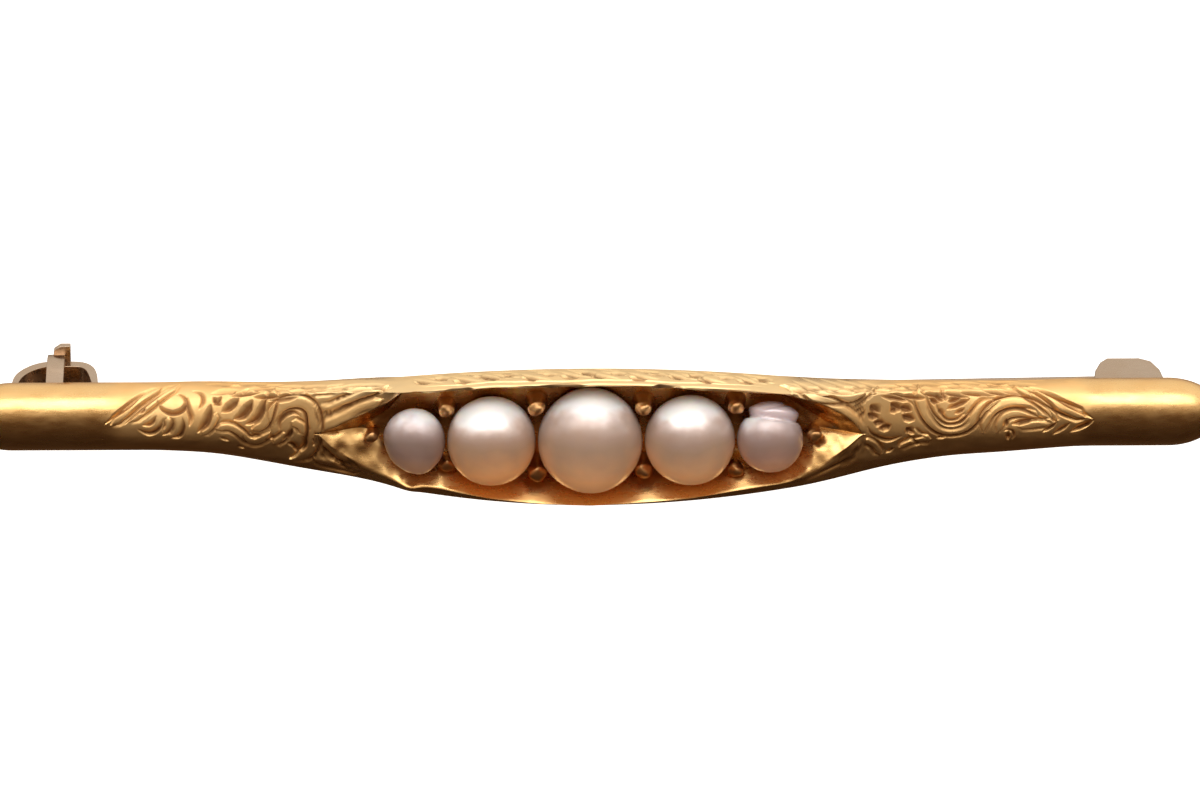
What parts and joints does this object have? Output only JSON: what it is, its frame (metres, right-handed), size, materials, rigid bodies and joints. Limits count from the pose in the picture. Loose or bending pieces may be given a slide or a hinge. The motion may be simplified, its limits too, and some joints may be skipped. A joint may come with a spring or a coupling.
{
  "type": "lingerie pin",
  "caption": "Slim round gold bar pin with a boat-shaped sunk setting of graduated pearls, engraved shoulders, and a hinge, pin stem and hook catch on the back.",
  "frame": {"origin": "under the middle of the bar, on the surface that the hinge and the catch rest on", "axes": "+X along the bar towards the hinge, +Y across the bar, +Z out of the pearl-set face"},
  "size_m": [0.036, 0.004, 0.0053],
  "materials": {
    "yellow_gold": "polished and hand engraved",
    "pale_gold": "worn polish",
    "pearl": "soft pearly lustre"
  },
  "bodies": {
    "root": {"bar_body": "yellow_gold", "pearl_outer_left": "pearl", "pearl_inner_left": "pearl", "pearl_centre": "pearl", "pearl_inner_right": "pearl", "pearl_outer_right": "pearl", "catch": "pale_gold", "hinge": "pale_gold", "pin_stem": "pale_gold"}
  },
  "joints": []
}
